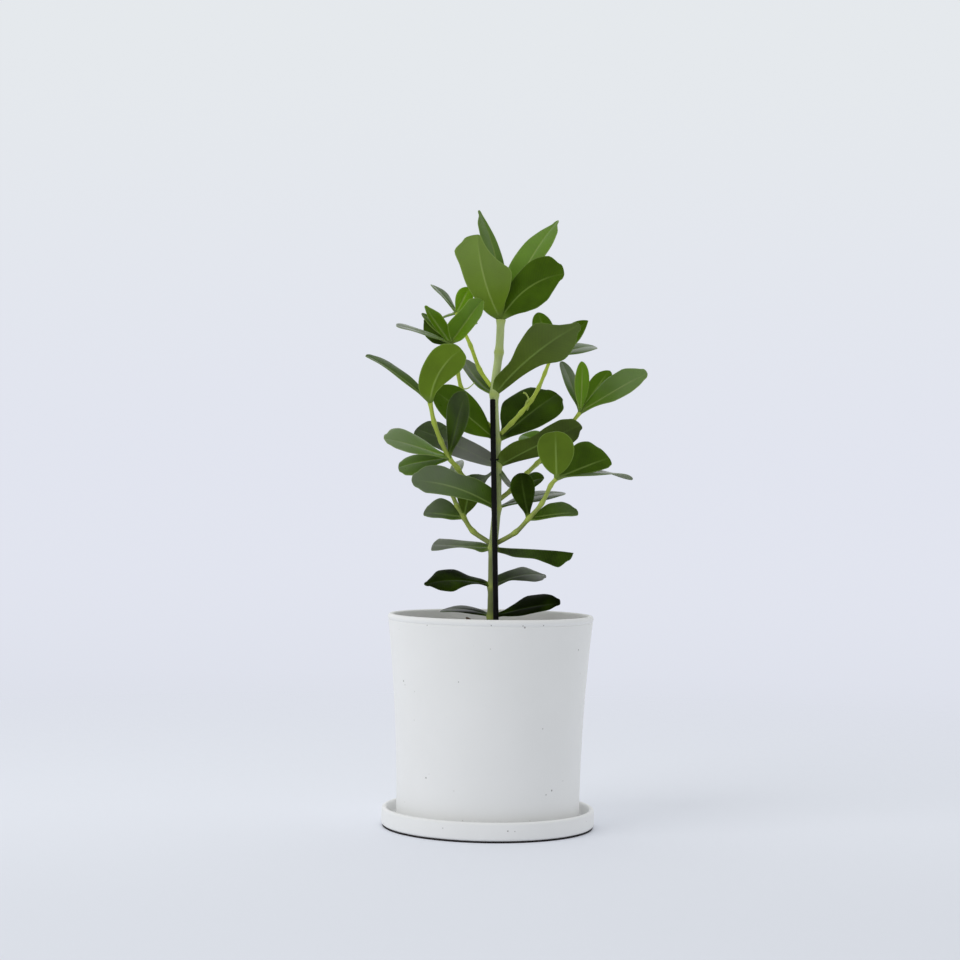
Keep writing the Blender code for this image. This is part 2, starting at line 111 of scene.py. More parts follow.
def shell(name, parts, finishes, smooth_below=50.0):
    """One object from several skins that have the same marks."""
    faces, looks, start = [], [], 0
    for points, quads, caps, look, _ in parts:
        faces += (quads + start).tolist() + (caps + start).tolist()
        looks += [look] * (len(quads) + len(caps))
        start += len(points)
    mesh = bpy.data.meshes.new(name)
    mesh.from_pydata((np.concatenate([part[0] for part in parts]) * MM).tolist(), [], faces)
    mesh.polygons.foreach_set("material_index", looks)
    for mark in parts[0][4]:
        values = [np.broadcast_to(marks[mark], len(points)) for points, *_, marks in parts]
        layer = mesh.attributes.new(mark, "FLOAT", "POINT")
        layer.data.foreach_set("value", np.concatenate(values).astype(np.float32))
    for look in finishes:
        mesh.materials.append(look)
    mesh.shade_smooth()
    mesh.set_sharp_from_angle(angle=math.radians(smooth_below))
    obj = bpy.data.objects.new(name, mesh)
    bpy.context.scene.collection.objects.link(obj)
    return obj


def dress(obj, slot, *nodes):
    """The piece takes the place of its nodes and moves with the plant's one body."""
    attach(obj, "root")
    if nodes:
        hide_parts(*nodes)
    print(obj.name, len(obj.data.polygons), "faces")
    return obj


# %% [markdown]
# ## Writing finishes briefly
#
# A finish is a small network of shader nodes. Each node here is made by one call, whose values
# are plain numbers or the output of another node. Two effects are shared by many finishes, so each
# is a group: soft mottling, and fine pores for the bump. Both read the Object coordinates, which
# are in metres and need no unwrapping.

# %% Node helpers
def put(node, values):
    """Each input, by its name or number, gets a constant or another node's output."""
    for key, value in values.items():
        socket = node.inputs[key]
        if isinstance(value, bpy.types.NodeSocket):
            node.id_data.links.new(value, socket)
        else:
            socket.default_value = (*value, 1.0) if socket.type == "RGBA" else value


def add(tree, kind, values=None, **settings):
    """A node with its settings and its inputs."""
    made = tree.nodes.new(kind)
    for name, value in settings.items():
        setattr(made, name, value)
    put(made, values or {})
    return made


def mark_of(tree, name):
    """The number that the mesh carries under this name."""
    return add(tree, "ShaderNodeAttribute", attribute_name=name).outputs["Fac"]


def calc(tree, operation, a, b=0.0):
    """One step of arithmetic on two numbers."""
    return add(tree, "ShaderNodeMath", {0: a, 1: b}, operation=operation).outputs[0]


def fade(tree, value, low, high, at_low=0.0, at_high=1.0):
    """A smooth step: at_low under low, at_high over high."""
    made = add(tree, "ShaderNodeMapRange", {0: value, 1: low, 2: high, 3: at_low, 4: at_high},
               interpolation_type="SMOOTHSTEP")
    return made.outputs[0]


def blend(tree, share, at_zero, at_one):
    """A number between two others: the first plus the share times their difference."""
    return add(tree, "ShaderNodeMapRange", {0: share, 3: at_zero, 4: at_one}).outputs[0]


def tint(tree, share, a, b):
    """A mix of two colours, which are the mix node's inputs 6 and 7."""
    return add(tree, "ShaderNodeMix", {0: share, 6: a, 7: b}, data_type="RGBA").outputs[2]


def places(tree):
    """The Object coordinates."""
    return add(tree, "ShaderNodeTexCoord").outputs["Object"]


def noise(tree, scale, detail):
    """A noise from 0 to 1 with about this many patches to the metre."""
    values = {"Vector": places(tree), "Scale": scale, "Detail": detail}
    return add(tree, "ShaderNodeTexNoise", values).outputs[0]


# %% Shared effects
def make_group(name, recipe, output, **inputs):
    """A group with number inputs, whose one output is what the recipe makes of them."""
    group = bpy.data.node_groups.new(name, "ShaderNodeTree")
    for label, value in inputs.items():
        socket = group.interface.new_socket(name=label, in_out="INPUT",
                                            socket_type="NodeSocketFloat")
        socket.default_value = value
    group.interface.new_socket(name=output, in_out="OUTPUT", socket_type="NodeSocketFloat")
    given = group.nodes.new("NodeGroupInput").outputs
    put(group.nodes.new("NodeGroupOutput"), {output: recipe(group, given[0], given[1])})
    return group


def soft_patches(group, scale, amount):
    """A slow noise less one half, times the amount."""
    return calc(group, "MULTIPLY", calc(group, "SUBTRACT", noise(group, scale, 3.0), 0.5), amount)


def fine_grain(group, scale, depth):
    """A noise and one three times as fine, added, times the depth."""
    finer = calc(group, "MULTIPLY", scale, 3.0)
    both = calc(group, "ADD", noise(group, scale, 2.0), noise(group, finer, 2.0))
    return calc(group, "MULTIPLY", both, depth)


MOTTLE = make_group("soft_mottle", soft_patches, "Shift", Scale=40.0, Amount=0.1)
PORES = make_group("fine_pores", fine_grain, "Height", Scale=900.0, Depth=1.0)


def mottle(tree, scale, amount):
    """One use of the soft patches, which lie round zero."""
    return add(tree, "ShaderNodeGroup", {0: scale, 1: amount}, node_tree=MOTTLE).outputs[0]


def pores(tree, scale, depth):
    """One use of the fine grain."""
    return add(tree, "ShaderNodeGroup", {0: scale, 1: depth}, node_tree=PORES).outputs[0]


print("groups:", MOTTLE.name, PORES.name)

# %% Starting a finish
def new_finish(name, **constants):
    """A finish with its Principled shader, whose constants are set on its own sockets."""
    look = bpy.data.materials.new(name)
    look.use_nodes = True
    shader = look.node_tree.nodes["Principled BSDF"]
    put(shader, {socket.replace("_", " "): value for socket, value in constants.items()})
    return look, look.node_tree, shader


def lift(tree, shader, height, distance, strength=1.0):
    """A bump that feeds the shader's normal. The distance is in metres."""
    bump = add(tree, "ShaderNodeBump",
               {"Height": height, "Distance": distance, "Strength": strength})
    put(shader, {"Normal": bump.outputs["Normal"]})


def plain_finish(name, dark, light, patches, grain, bump, **constants):
    """A colour that wanders between two tones, over a grainy bump. The patches are the mottling's
    scale and amount, and the grain is the pores' scale and depth."""
    look, tree, shader = new_finish(name, **constants)
    shade = tint(tree, calc(tree, "ADD", mottle(tree, *patches), 0.5), dark, light)
    put(shader, {"Base Color": shade})
    lift(tree, shader, pores(tree, *grain), bump)
    return look


# %% [markdown]
# ## Matt white ceramic
#
# The pot and the saucer are glazed stoneware: white, matt, slightly uneven, with a few dark
# pinholes where gas broke through the glaze. A painted picture would need an unwrapped surface.
# Here each pinhole is a small ball round a point on the wall, which darkens the colour and sinks
# the surface at the same spot.

# %% Pinholes
POT_FOOT = 4.3
POT_TOP = 153.8
POT_BASE_RADIUS = 66.5
POT_RIM_RADIUS = 75.0
SAUCER_WALL_RADIUS = 77.0
# Each pinhole: degrees to the right of the front, height, radius
POT_PINHOLES = [
    (-60.7, 107.2, 0.8), (-59.2, 104.6, 0.5), (-18.2, 110, 0.5), (-37, 148.6, 0.5), (0, 150, 0.6),
    (18.3, 148.8, 0.9), (17.2, 149.8, 0.6), (29.3, 150, 0.6), (59.3, 131.4, 0.7), (33, 77.3, 0.5),
    (-41.1, 40.8, 0.8), (41.8, 33.2, 0.9), (37.3, 30.6, 0.6), (120, 96, 0.7), (165, 58, 0.6),
    (-140, 124, 0.6), (-105, 30, 0.7), (92, 20, 0.5)]
SAUCER_PINHOLES = [(-23.9, 9, 0.6), (10.2, 8.5, 0.8), (13.9, 8.2, 0.6), (130, 7, 0.7)]


def pot_radius(height):
    """The outer radius: the foot's, plus the flare times the squared share of the height."""
    share = np.clip((height - POT_FOOT) / (POT_TOP - POT_FOOT), 0.0, 1.0)
    return POT_BASE_RADIUS + (POT_RIM_RADIUS - POT_BASE_RADIUS) * share ** 2


holes = [(hole, float(pot_radius(hole[1]))) for hole in POT_PINHOLES]
holes += [(hole, SAUCER_WALL_RADIUS) for hole in SAUCER_PINHOLES]
# Each pinhole as (x, y, z, radius): the wall's radius times the sine and the cosine
PINHOLES = [(out * math.sin(math.radians(turn)), -out * math.cos(math.radians(turn)), height, size)
            for (turn, height, size), out in holes]
print("pinholes:", len(PINHOLES))

# %% Ceramic
GLAZE = (0.84, 0.845, 0.835), (0.90, 0.90, 0.895)
IRON = (0.30, 0.27, 0.23)
PIT = (0.12, 0.10, 0.09)
SPECK_CELLS = 170.0


def pinholes(tree):
    """1 inside any pinhole and 0 outside, from the distance to each one's middle."""
    where, inside = places(tree), 0.0
    for x, y, z, size in PINHOLES:
        away = add(tree, "ShaderNodeVectorMath", {0: where, 1: (x * MM, y * MM, z * MM)},
                   operation="DISTANCE").outputs["Value"]
        near = fade(tree, away, 0.35 * size * MM, size * MM, 1.0, 0.0)
        inside = calc(tree, "MAXIMUM", inside, near)
    return inside


def iron_specks(tree):
    """Faint specks all over: the cores of cells, in the fifth of the cells picked by chance."""
    cells = add(tree, "ShaderNodeTexVoronoi", {"Vector": places(tree), "Scale": SPECK_CELLS})
    chance = add(tree, "ShaderNodeSeparateColor", {0: cells.outputs["Color"]}).outputs[0]
    core = fade(tree, cells.outputs["Distance"], 0.05, 0.10, 1.0, 0.0)
    return calc(tree, "MULTIPLY", core, fade(tree, chance, 0.80, 0.95))


CERAMIC, tree, shader = new_finish("white_ceramic", Roughness=0.62, Specular_IOR_Level=0.35)
pits = pinholes(tree)
white = tint(tree, calc(tree, "ADD", mottle(tree, 22.0, 0.9), 0.5), *GLAZE)
speckled = tint(tree, calc(tree, "MULTIPLY", iron_specks(tree), 0.35), white, IRON)
put(shader, {"Base Color": tint(tree, calc(tree, "MULTIPLY", pits, 0.75), speckled, PIT)})
# the pits also sink the surface
sunk = calc(tree, "SUBTRACT", pores(tree, 420.0, 0.5), calc(tree, "MULTIPLY", pits, 2.0))
lift(tree, shader, sunk, 0.00012, 0.6)
# The foot's near-black colour is painted shade: it stands for the dark gap under the saucer
SHADOW_FOOT = plain_finish("saucer_foot_painted_shade", (0.012, 0.009, 0.010), (0.03, 0.022, 0.022),
                    (300.0, 1.0), (1500.0, 0.5), 0.0001, Roughness=0.9)

# %% [markdown]
# ## Saucer and pot
#
# Both were turned on a wheel, so each is a profile carried round the axis. The edges that the eye
# reads, the lip of the saucer and the rim of the pot, are quarter rounds in the profile and not
# bevels added later, which keeps full control of how soft each edge is.

# %% Turned forms
TURNED_COLUMNS = 192


def circle(count):
    """Even directions round a circle: the cosine and the sine of each turn."""
    turn = np.arange(count) * math.tau / count
    return np.stack([np.cos(turn), np.sin(turn)], -1)


def quarter(centre, radii, start, end, count=7):
    """Points on an ellipse round a centre, from one angle to another, in degrees."""
    turn = np.radians(np.linspace(start, end, count))
    return np.stack([centre[0] + radii[0] * np.cos(turn), centre[1] + radii[1] * np.sin(turn)], -1)


def level(radius_from, radius_to, height, count):
    """A level run of a profile."""
    return np.stack([np.linspace(radius_from, radius_to, count), np.full(count, height)], -1)


def wall(heights, inset=0.0):
    """A run along the pot's outer face, or inside it by the inset."""
    return np.stack([pot_radius(heights) - inset, heights], -1)


def turned(profile, columns=TURNED_COLUMNS):
    """Rings from (radius, height) pairs: each is the circle times its radius, at its height."""
    profile = np.asarray(profile, dtype=float)[:, None]
    flat = profile[..., :1] * circle(columns)
    return np.concatenate([flat, np.broadcast_to(profile[..., 1:], (*flat.shape[:2], 1))], -1)


# %% Saucer
dish = np.concatenate([
    level(0.5, 76.0, 1.2, 12),
    quarter((75.4, 3.2), (2.0, 2.0), -80, 0),
    quarter((75.2, 12.2), (2.0, 1.8), 0, 90),
    quarter((75.2, 12.2), (1.5, 1.8), 90, 180),
    quarter((70.7, 7.2), (2.7, 3.2), 0, -90),
    level(69.5, 0.5, 4.0, 12),
])
# The foot is a thin disc, set back under the dish's rounded edge; its near-black colour is painted
# shade
foot = np.concatenate([level(0.5, 76.2, 0.0, 4), quarter((76.2, 0.6), (0.4, 0.6), -90, 90, 5),
                       level(75.8, 0.5, 1.2, 4)])
saucer = shell("saucer_fine", [skin(turned(dish)), skin(turned(foot), look=1)], [CERAMIC, SHADOW_FOOT])
dress(saucer, "white_ceramic", "saucer")

# %% Pot
POT_WALL = 4.0
POT_FLOOR_TOP = 10.3
INNER_CORNER = 6.0
DRAIN_RADIUS = 6.0
GROOVE_START = 148.7
GROOVE_END = 149.7
GROOVE_DEPTH = 0.4


def pot_profile():
    """An endless profile: along the underside, up the flared outside, through a groove as deep as
    half a sine, over the soft rim, down the inside and back through the drain hole."""
    outside = np.linspace(POT_FOOT + 2.0, GROOVE_START, 40)
    groove = np.linspace(GROOVE_START, GROOVE_END, 9)[1:]
    sunk = GROOVE_DEPTH * np.sin(np.linspace(0.0, math.pi, 9)[1:])
    corner = POT_FLOOR_TOP + INNER_CORNER
    inside = np.linspace(POT_TOP - 1.8, corner, 24)
    return np.concatenate([
        level(DRAIN_RADIUS, 62.0, POT_FOOT, 6),
        quarter((POT_BASE_RADIUS - 2.0, POT_FOOT + 2.0), (2.0, 2.0), -90, 0, 6)[:-1],
        wall(outside),
        wall(groove, sunk),
        quarter((73.2, 151.0), (1.75, 2.8), 8, 90, 9),
        quarter((72.2, 152.3), (1.3, 1.5), 90, 176, 7),
        wall(inside, POT_WALL),
        quarter((pot_radius(corner) - POT_WALL - INNER_CORNER, corner),
                (INNER_CORNER, INNER_CORNER), -8, -90, 8),
        level(50.0, DRAIN_RADIUS, POT_FLOOR_TOP, 5),
    ])


pot = shell("pot_fine", [skin(turned(pot_profile()), endless=True)], [CERAMIC])
dress(pot, "white_ceramic", "pot")

# %% [markdown]
# ## Potting mix
#
# From the front only a chip of bark shows over the rim, but from above the whole surface does: a
# lumpy sheet with a few hundred bark chips and some white grains of perlite pressed into it.
# Displacement could make the lumps, but a sum of plain waves in random directions is a formula that
# also tells each chip how high to lie. A chip is a ball of rings with uneven radii, flattened and
# turned.

# %% Soil finishes
EARTH = plain_finish("potting_mix", (0.012, 0.008, 0.005), (0.055, 0.036, 0.022), (260.0, 2.2),
                     (780.0, 1.0), 0.0012, Roughness=0.95, Specular_IOR_Level=0.2)
BARK = plain_finish("bark", (0.070, 0.038, 0.022), (0.25, 0.150, 0.090), (320.0, 2.2),
                    (960.0, 1.0), 0.0012, Roughness=0.85, Specular_IOR_Level=0.2)
PERLITE = plain_finish("perlite", (0.55, 0.54, 0.50), (0.80, 0.79, 0.76), (500.0, 2.2),
                       (1500.0, 1.0), 0.0012, Roughness=0.9, Specular_IOR_Level=0.2)

# %% Soil body
SOIL_RIM_HEIGHT = 140.0
SOIL_SWELL = 5.5
SOIL_CLEAR = 0.3
SOIL_REACH = float(pot_radius(SOIL_RIM_HEIGHT)) - POT_WALL - SOIL_CLEAR
SOIL_TOP_ROWS = 70
rng = np.random.default_rng(11)
LUMP_WAVES = 28
LUMP_HEIGHT = 0.5
wave_turns = rng.uniform(0.0, math.tau, LUMP_WAVES)
wave_counts = rng.uniform(0.15, 0.9, LUMP_WAVES)
wave_starts = rng.uniform(0.0, math.tau, LUMP_WAVES)


def soil_height(x, y):
    """A swell that falls with the squared distance from the stem, plus the sum of the waves, which
    die away at the wall."""
    out = np.hypot(x, y) / SOIL_REACH
    along = (x[..., None] * np.cos(wave_turns) + y[..., None] * np.sin(wave_turns)) * wave_counts
    lumps = LUMP_HEIGHT * np.sin(along + wave_starts).sum(-1) / math.sqrt(LUMP_WAVES / 2.0)
    swell = SOIL_SWELL * (1.0 - out ** 2)
    return SOIL_RIM_HEIGHT + swell + lumps * np.clip(4.0 * (1.0 - out), 0, 1)


def soil_part():
    """A turned body that fills the pot. Its lowest wall ring is drawn in to clear the round inner
    corner, and its top rings take their height from the lumps."""
    side = np.linspace(POT_FLOOR_TOP + SOIL_CLEAR, SOIL_RIM_HEIGHT, 8)
    face = wall(side, POT_WALL + SOIL_CLEAR)
    face[0, 0] = pot_radius(side[0]) - POT_WALL - INNER_CORNER
    rings = turned(np.concatenate([
        level(0.5, 50.0, side[0], 4), face,
        level(SOIL_REACH - 0.3, 0.4, SOIL_RIM_HEIGHT, SOIL_TOP_ROWS)]), 160)
    top = rings[-SOIL_TOP_ROWS:]
    top[..., 2] = soil_height(top[..., 0], top[..., 1])
    return skin(rings)


dress(shell("soil_fine", [soil_part()], [EARTH], 80.0), "potting_soil", "soil")

# %% Chips and grains
CHIP_ROWS = 5
CHIP_COLUMNS = 7
# This turn from each lump to the next spreads them like the seeds of a sunflower
GOLDEN_TURN = 2.39996
# A lump's middle is this share of its height above the soil
LUMP_RISE = 0.18


def blob(middle, sizes, spin, tip, rough):
    """A closed uneven lump: half a turn of rings, each with random radii, scaled and turned."""
    down = (np.arange(CHIP_ROWS) + 0.5) / CHIP_ROWS * math.pi
    uneven = 1.0 + rough * rng.uniform(-1.0, 1.0, (CHIP_ROWS, CHIP_COLUMNS))
    body = turned(np.stack([np.sin(down) ** 0.6, np.cos(down)], -1), CHIP_COLUMNS)
    body[..., :2] *= uneven[..., None]
    turned_by = Matrix.Rotation(spin, 3, "Z") @ Matrix.Rotation(tip, 3, "X")
    return body * np.array(sizes) / 2 @ np.array(turned_by).T + np.array(middle)


def scatter(count, lengths, widths, heights, rough, inner=9.0, outer=0.95):
    """Lumps spread evenly: their distance grows with the root of the share. A point that would
    reach into the wall is drawn back."""
    parts = []
    share = (np.arange(count) + rng.uniform(0.0, 1.0, count)) / count
    out = inner + (SOIL_REACH * outer - inner) * np.sqrt(share)
    turn = np.arange(count) * GOLDEN_TURN + rng.uniform(-0.4, 0.4, count)
    x, y = out * np.cos(turn), out * np.sin(turn)
    top = soil_height(x, y)
    for k in range(count):
        sizes = [rng.uniform(*span) for span in (lengths, widths, heights)]
        place = (x[k], y[k], top[k] + LUMP_RISE * sizes[2])
        body = blob(place, sizes, rng.uniform(0, math.tau), rng.uniform(-0.45, 0.45), rough)
        reach = np.hypot(body[..., 0], body[..., 1])
        body[..., :2] *= np.minimum(1.0, (SOIL_REACH - 0.5) / reach)[..., None]
        parts.append(skin(body))
    return parts


chips = scatter(330, (4.0, 10.0), (2.5, 5.5), (1.6, 3.2), 0.22)
# The one chip that shows over the rim, to the left of the stem
upright = blob((-15.0, 3.0, 148.4), (3.2, 2.6, 8.8), 0.9, -1.0, 0.12)
chips.append(skin(upright))
dress(shell("bark_chips", chips, [BARK], 40.0), "potting_soil")
grains = scatter(70, (1.6, 3.4), (1.6, 3.0), (1.4, 2.6), 0.18)
dress(shell("perlite_grains", grains, [PERLITE], 60.0), "potting_soil")

# %% [markdown]
# ## Stake and tie
#
# The stake is a straight rod of black plastic-coated wire, about 4 mm thick. The tie is a thin
# black band round the stem and the stake, which shows as one faint line. A curve with a round bevel
# would do for the stake but not for the flat band, so both are rings along a path. The band's path
# is the taut line round the two circles.

# %% Stake
STAKE_RADIUS = 2.0
STAKE_FOOT = np.array([6.3, -8.6, 70.0])
STAKE_TOP = np.array([-1.2, -6.0, 310.5])
STAKE_STEPS = 60
STAKE_ROUNDING = 1.0
BLACK = plain_finish("black_coating", (0.0035, 0.0035, 0.0035), (0.011, 0.011, 0.010),
                     (90.0, 1.2), (700.0, 0.6), 0.0002, Roughness=0.5, Specular_IOR_Level=0.3)


def unit(ways):
    """A direction, or each row of them, with a length of one."""
    return ways / np.linalg.norm(ways, axis=-1, keepdims=True)


def tube(path, radii, columns, aside=(0.31, 0.95, 0.0)):
    """Rings along a path: each is its point plus the radius times a turn between two ways across
    the path, which come from its tangent and one side way."""
    ahead = unit(np.gradient(path, axis=0))
    one = unit(np.cross(ahead, aside))
    other = np.cross(ahead, one)
    wheel = circle(columns) @ np.stack([one, other], axis=1)
    return path[:, None] + radii[:, None, None] * wheel


def stake_rings():
    """A straight tube with a rounded top edge, where the steps follow a sine and the radii a
    cosine."""
    straight = np.linalg.norm(STAKE_TOP - STAKE_FOOT) - STAKE_ROUNDING
    bend = np.linspace(0.1, 1.0, 6) * math.pi / 2
    steps = np.concatenate([np.linspace(0.0, straight, STAKE_STEPS),
                            straight + STAKE_ROUNDING * np.sin(bend)])
    radii = np.concatenate([np.full(STAKE_STEPS, STAKE_RADIUS),
                            STAKE_RADIUS - STAKE_ROUNDING * (1.0 - np.cos(bend))])
    return tube(STAKE_FOOT + steps[:, None] * unit(STAKE_TOP - STAKE_FOOT), radii, 32)


dress(shell("stake_fine", [skin(stake_rings())], [BLACK]), "black_stake", "stake")

# %% Tie
TIE_HEIGHT = 266.5
TIE_TILT = 0.35
TIE_COLUMNS = 96
TIE_SECTION = 12
TIE_HALF_THICKNESS = 0.3
TIE_HALF_HEIGHT = 0.6
# The circles of the stem and of the stake at the height of the tie
TIE_CENTRES = np.array([[2.86, 0.0], [0.17, -6.47]])
TIE_REACHES = np.array([3.4, 2.0]) + TIE_HALF_THICKNESS


def tie_rings():
    """The band's middle line is the farther of the two circles in each direction. Its section is a
    flat oval, 0.6 mm through and 1.2 mm high."""
    way = circle(TIE_COLUMNS)
    pick = (way @ TIE_CENTRES.T + TIE_REACHES).argmax(axis=1)
    middle = TIE_CENTRES[pick] + way * TIE_REACHES[pick][:, None]
    height = TIE_HEIGHT + TIE_TILT * (middle[:, 1] - TIE_CENTRES[1, 1])
    section = circle(TIE_SECTION) * (TIE_HALF_THICKNESS, TIE_HALF_HEIGHT)
    flat = middle[:, None] + way[:, None] * section[:, :1]
    return np.concatenate([flat, height[:, None, None] + section[None, :, 1:]], -1)


dress(shell("tie_fine", [skin(tie_rings(), endless=True)], [BLACK]), "black_stake", "tie")

# %% [markdown]
# ## Leaves
#
# A clusia leaf is thick and leathery, widest beyond its middle, with one pale midrib and hardly
# any side veins. It could be a flat card with a picture, but the photograph shows rounded edges, a
# groove over the midrib and a ridge below it. So each leaf is a closed skin: a ring runs over the
# upper face and back under the lower one, and the rings follow the midrib from the stalk to the
# tip. Their points lie closest at the midrib and at the edge, where the form changes.

# %% Leaf outline
LEAF_ROWS = 34
STALK_RADIUS = 1.8
STALK_SHARE = 0.08
# The shares of the length at which the outline of a measured leaf is given, after the foot
STATIONS = np.array([0.0, 0.15, 0.30, 0.50, 0.70, 0.85, 0.95])
# A plain leaf's rule: the share where it is widest, and how blunt its tip is
ROUND = (0.66, 0.55)
OVAL = (0.60, 0.62)
BLUNT = (0.70, 0.42)
POINTED = (0.52, 0.85)
EDGE_ROUNDING = 0.15


def smooth(value, low, high):
    """0 under low, 1 over high, and three squares less two cubes between."""
    step = np.clip((value - low) / (high - low), 0.0, 1.0)
    return step * step * (3.0 - 2.0 * step)


def even_curve(knots, values, at):
    """A curve through points that never overshoots them: a cubic in each span, whose slope at a
    point is the harmonic mean of the slopes on its two sides, or zero where they differ in sign."""
    step = np.diff(knots)
    rate = np.diff(values) / step
    product = rate[:-1] * rate[1:]
    inner = np.where(product > 0.0, 2.0 * product / (rate[:-1] + rate[1:] + 1e-9), 0.0)
    slope = np.concatenate([[rate[0]], inner, [rate[-1]]])
    k = np.clip(np.searchsorted(knots, at) - 1, 0, len(step) - 1)
    t = (at - knots[k]) / step[k]
    return (values[k] * (1.0 + 2.0 * t) * (1.0 - t) ** 2 + values[k + 1] * t ** 2 * (3.0 - 2.0 * t)
            + step[k] * (slope[k] * t * (1.0 - t) ** 2 - slope[k + 1] * t ** 2 * (1.0 - t)))


def half_width(share, width, outline):
    """The width of one side along the leaf. An outline of two numbers is a rule: a power of the way
    from the foot times a power of the way from the tip. An outline of six gives the measured widths
    at the stations. Both join a slim stalk at the foot."""
    if len(outline) == len(STATIONS) - 1:
        values = np.array([STALK_RADIUS, *outline])
        half = even_curve(STATIONS, values, np.minimum(share, STATIONS[-1]))
        past = np.clip((share - STATIONS[-1]) / (1.0 - STATIONS[-1]), 0.0, 1.0)
        return half * np.sqrt(1.0 - past ** 2) + EDGE_ROUNDING
    widest, blunt = outline
    way = np.clip((share - STALK_SHARE) / (1.0 - STALK_SHARE), 0.0, 1.0)
    rise = blunt * widest / (1.0 - widest)
    peak = widest ** rise * (1.0 - widest) ** blunt
    half = 0.5 * width * way ** rise * (1.0 - way) ** blunt / peak
    return np.hypot(half, STALK_RADIUS * (1.0 - smooth(share, 0.1, 0.6))) + EDGE_ROUNDING


# %% Midrib
SHARE = 0.5 - 0.5 * np.cos(np.linspace(0.0, 1.0, LEAF_ROWS) ** 0.9 * math.pi)


def midrib(foot, tip, faces_to, arch, twist, bow, drop):
    """The leaf's middle line with two ways at each point: across, and out of the upper face. The
    line is straight plus a hump of four times the share times its rest, towards the upper face by
    the arch and to the side by the bow. The twist turns both ways evenly, and the tip drops."""
    chord = tip - foot
    length = np.linalg.norm(chord)
    ahead = unit(chord)
    up = np.array(faces_to, dtype=float)
    up = unit(up - up.dot(ahead) * ahead)
    rise = 0.5 * length * math.tan(math.radians(arch) / 4)
    hump = (4.0 * SHARE * (1.0 - SHARE))[:, None]
    line = foot + SHARE[:, None] * chord + hump * (rise * up + bow * np.cross(ahead, up))
    tangent = unit(np.gradient(line, SHARE, axis=0))
    normal = unit(up - (tangent @ up)[:, None] * tangent)
    turn = np.radians(twist) * (SHARE - 0.5)
    sweep = np.cos(turn)[:, None] * np.cross(tangent, normal) + np.sin(turn)[:, None] * normal
    normal = np.cross(sweep, tangent)
    return line - (drop * smooth(SHARE, 0.75, 1.15))[:, None] * normal, sweep, normal, length


# %% Blade
HALF_ACROSS = np.array([0.02, 0.045, 0.08, 0.14, 0.24, 0.40, 0.58, 0.76, 0.90, 0.97, 0.994])
ACROSS = np.concatenate([[-1.0], -HALF_ACROSS[::-1], [0.0], HALF_ACROSS, [1.0]])
BLADE_THICKNESS = 0.85
STALK_THICKNESS = 2.0
EDGE_CURL = 0.08
EDGE_WAVE = 0.35
# Depth and half width of the groove over the midrib and of the ridge below it
RIB_GROOVE = (0.32, 0.75)
RIB_RIDGE = (0.65, 0.85)


def blade(foot, tip, faces_to, arch, fold, twist=0.0, width=0.0, rule=OVAL, sides=None, bow=0.0,
          drop=1.0):
    """One leaf as rings, with its marks. Its left and its right side, seen on the upper face with
    the tip up, can have outlines of their own. The sides rise by the fold, roll down at the edge
    by the curl and wave gently there. The leaf thins from the stalk to the edge. The groove above
    the midrib and the ridge below it are bell curves of the distance from it."""
    foot, tip = np.array(foot, dtype=float), np.array(tip, dtype=float)
    line, sweep, normal, length = midrib(foot, tip, faces_to, arch, twist, bow, drop)
    share = SHARE[:, None]
    across = np.concatenate([ACROSS, ACROSS[-2:0:-1]])[None, :]
    layer = np.concatenate([np.ones(len(ACROSS)), -np.ones(len(ACROSS) - 2)])
    layer[[0, len(ACROSS) - 1]] = 0.0
    halves = [half_width(share, width, outline) for outline in sides or (rule, rule)]
    reach = np.where(across < 0.0, *halves)
    away = np.abs(across) * reach
    body = smooth(share, 0.02, 0.22)
    thick = (STALK_THICKNESS * (1.0 - body) + BLADE_THICKNESS * body) * (1.0 - 0.35 * share)
    hull = np.sqrt(1.0 - np.abs(across) ** (2.0 + 8.0 * body)) * thick / 2.0
    groove = RIB_GROOVE[0] * np.exp(-(away / RIB_GROOVE[1]) ** 2) * body * (1.0 - 0.7 * share)
    ridge = RIB_RIDGE[0] * np.exp(-(away / RIB_RIDGE[1]) ** 2) * body * (1.0 - share) ** 0.8
    rim = across ** 2
    wave = EDGE_WAVE * rim * np.sin(9.0 * share + 2.0 * across + 0.37 * length) * body
    lifted = away * (math.sin(math.radians(fold)) - EDGE_CURL * rim) + wave
    lifted = lifted + np.where(layer > 0, hull - groove, np.where(layer < 0, -hull - ridge, 0.0))
    out = across * reach * math.cos(math.radians(fold))
    rings = line[:, None] + out[..., None] * sweep[:, None] + lifted[..., None] * normal[:, None]
    marks = {"rib": away, "edge": reach - away, "upper": 0.5 + 0.5 * layer, "share": share}
    return rings, {name: np.broadcast_to(mark, away.shape) for name, mark in marks.items()}


# %% [markdown]
# ## The table of stems
#
# Each stem is a curve through its joints, and each leaf is one row of a table: the joint it grows
# from, its tip, the way its upper face looks, how far it arches and folds, how young it is, and
# how much grey it has, waxy bloom and painted sheen, over 0 towards its tip or under 0 towards its
# foot. Its outline is a width and a rule, or the measured widths of both sides. The imported model
# was made from nearly the same joints and tips, so the fine leaves lie over the solid ones.

# %% Stems and leaves
def leaf(joint, tip, faces_to, arch, fold, young, bloom_and_sheen=0.0, **form):
    """One row of the table: the joint, the form for the blade, and the marks for the finish."""
    form = dict(form, tip=tip, faces_to=faces_to, arch=arch, fold=fold)
    return joint, form, {"young": young, "bloom_and_sheen": bloom_and_sheen, "joint": 0.0}


